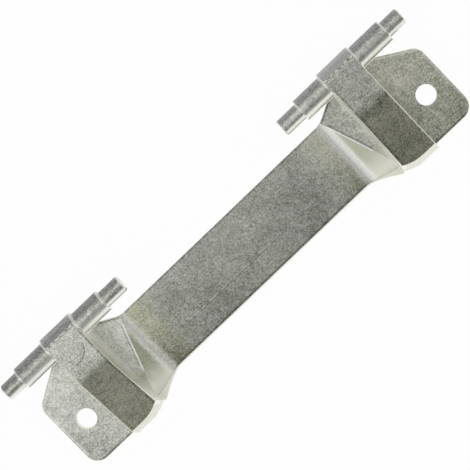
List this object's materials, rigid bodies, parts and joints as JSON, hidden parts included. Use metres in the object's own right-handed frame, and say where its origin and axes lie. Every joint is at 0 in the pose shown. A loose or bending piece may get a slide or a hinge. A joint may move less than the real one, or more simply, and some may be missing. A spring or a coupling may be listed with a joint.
{
  "type": "washing machine door hinge",
  "caption": "Die-cast door hinge: a flat arm joins screw plates, each with a gooseneck that carries stepped hinge pins on one common axis.",
  "frame": {"origin": "midway between the screw holes, on the seat of the plates", "axes": "+X along the hinge, +Y up towards the pin axis, +Z away from the machine, out of the plates' front faces"},
  "size_m": [0.1608, 0.0412, 0.0215],
  "materials": {
    "cast_zinc": "bare die casting, fine grain, satin"
  },
  "bodies": {
    "root": {"hinge_casting": "cast_zinc"}
  },
  "joints": []
}
